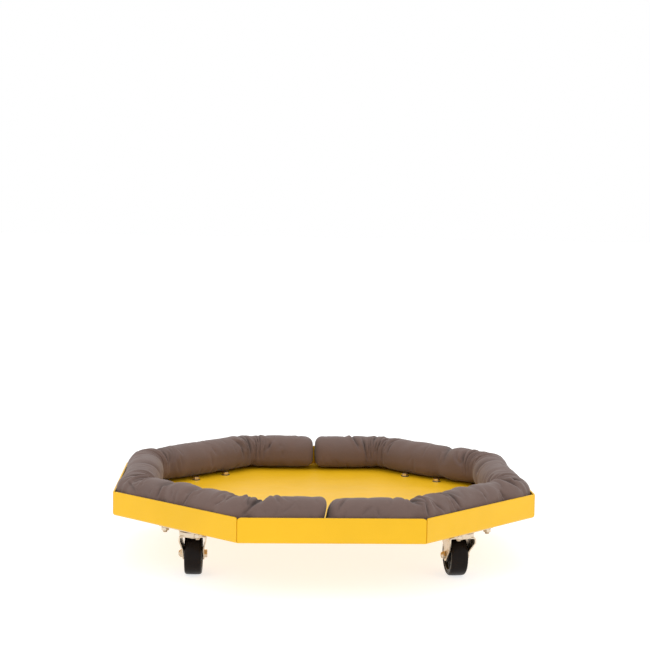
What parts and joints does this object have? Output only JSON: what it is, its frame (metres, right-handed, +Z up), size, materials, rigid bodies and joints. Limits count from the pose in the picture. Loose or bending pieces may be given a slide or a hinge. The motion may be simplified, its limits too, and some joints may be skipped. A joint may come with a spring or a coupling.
{
  "type": "drum dolly",
  "caption": "Octagonal steel pan on swivel casters that carries an upright drum and catches drips, with absorbent socks inside its flanges.",
  "frame": {"origin": "on the ground under the middle of the pan", "axes": "+Z up, one flat flange facing -Y (front), +X to the right of that flange seen from in front"},
  "size_m": [0.787, 0.787, 0.1717],
  "materials": {
    "powder_coat": "semi-gloss yellow powder coat",
    "sock_fabric": "matte non-woven polypropylene",
    "zinc_plate": "bright zinc plating on pressed steel",
    "zinc_fastener": "bright zinc plating on turned steel",
    "bearing_steel": "ground and greased",
    "seal_rubber": "matte",
    "wheel_plastic": "moulded, satin",
    "tread_rubber": "smooth, satin"
  },
  "bodies": {
    "deck": {"deck_pan": "powder_coat", "caster_bolts": "zinc_fastener", "sealing_washers": "seal_rubber", "lock_washers": "zinc_fastener", "caster_nuts": "zinc_fastener", "rear_right_top_plate": "zinc_plate", "rear_right_kingpin": "zinc_fastener", "rear_right_retaining_washer": "zinc_plate", "rear_left_top_plate": "zinc_plate", "rear_left_kingpin": "zinc_fastener", "rear_left_retaining_washer": "zinc_plate", "front_left_top_plate": "zinc_plate", "front_left_kingpin": "zinc_fastener", "front_left_retaining_washer": "zinc_plate", "front_right_top_plate": "zinc_plate", "front_right_kingpin": "zinc_fastener", "front_right_retaining_washer": "zinc_plate"},
    "rear_right_swivel": {"rear_right_balls": "bearing_steel", "rear_right_fork": "zinc_plate", "rear_right_axle_bolt": "zinc_fastener", "rear_right_axle_nut": "zinc_fastener", "rear_right_axle_sleeve": "zinc_plate"},
    "rear_right_wheel": {"rear_right_wheel_core": "wheel_plastic", "rear_right_tread": "tread_rubber"},
    "rear_left_swivel": {"rear_left_balls": "bearing_steel", "rear_left_fork": "zinc_plate", "rear_left_axle_bolt": "zinc_fastener", "rear_left_axle_nut": "zinc_fastener", "rear_left_axle_sleeve": "zinc_plate"},
    "rear_left_wheel": {"rear_left_wheel_core": "wheel_plastic", "rear_left_tread": "tread_rubber"},
    "front_left_swivel": {"front_left_balls": "bearing_steel", "front_left_fork": "zinc_plate", "front_left_axle_bolt": "zinc_fastener", "front_left_axle_nut": "zinc_fastener", "front_left_axle_sleeve": "zinc_plate"},
    "front_left_wheel": {"front_left_wheel_core": "wheel_plastic", "front_left_tread": "tread_rubber"},
    "front_right_swivel": {"front_right_balls": "bearing_steel", "front_right_fork": "zinc_plate", "front_right_axle_bolt": "zinc_fastener", "front_right_axle_nut": "zinc_fastener", "front_right_axle_sleeve": "zinc_plate"},
    "front_right_wheel": {"front_right_wheel_core": "wheel_plastic", "front_right_tread": "tread_rubber"},
    "sock_left": {"sock_left": "sock_fabric"},
    "sock_right": {"sock_right": "sock_fabric"}
  },
  "joints": [
    {"name": "rear_right_swivel_turn", "type": "hinge", "parent": "deck", "child": "rear_right_swivel", "pos_m": [0.24254, 0.24254, 0.09], "axis": [0, 0, 1], "continuous": true},
    {"name": "rear_right_wheel_spin", "type": "hinge", "parent": "rear_right_swivel", "child": "rear_right_wheel", "pos_m": [0.24421, 0.27449, 0.038], "axis": [-0.9986, 0.0523, 0], "continuous": true},
    {"name": "rear_left_swivel_turn", "type": "hinge", "parent": "deck", "child": "rear_left_swivel", "pos_m": [-0.24254, 0.24254, 0.09], "axis": [0, 0, 1], "continuous": true},
    {"name": "rear_left_wheel_spin", "type": "hinge", "parent": "rear_left_swivel", "child": "rear_left_wheel", "pos_m": [-0.24533, 0.27442, 0.038], "axis": [-0.9962, -0.0872, 0], "continuous": true},
    {"name": "front_left_swivel_turn", "type": "hinge", "parent": "deck", "child": "front_left_swivel", "pos_m": [-0.24254, -0.24254, 0.09], "axis": [0, 0, 1], "continuous": true},
    {"name": "front_left_wheel_spin", "type": "hinge", "parent": "front_left_swivel", "child": "front_left_wheel", "pos_m": [-0.24198, -0.21054, 0.038], "axis": [-0.9998, 0.0175, 0], "continuous": true},
    {"name": "front_right_swivel_turn", "type": "hinge", "parent": "deck", "child": "front_right_swivel", "pos_m": [0.24254, -0.24254, 0.09], "axis": [0, 0, 1], "continuous": true},
    {"name": "front_right_wheel_spin", "type": "hinge", "parent": "front_right_swivel", "child": "front_right_wheel", "pos_m": [0.23864, -0.21078, 0.038], "axis": [-0.9925, -0.1219, 0], "continuous": true},
    {"name": "sock_left_lift", "type": "slide", "parent": "deck", "child": "sock_left", "axis": [0, 0, 1], "range_m": [0, 0.15]},
    {"name": "sock_right_lift", "type": "slide", "parent": "deck", "child": "sock_right", "axis": [0, 0, 1], "range_m": [0, 0.15]}
  ]
}
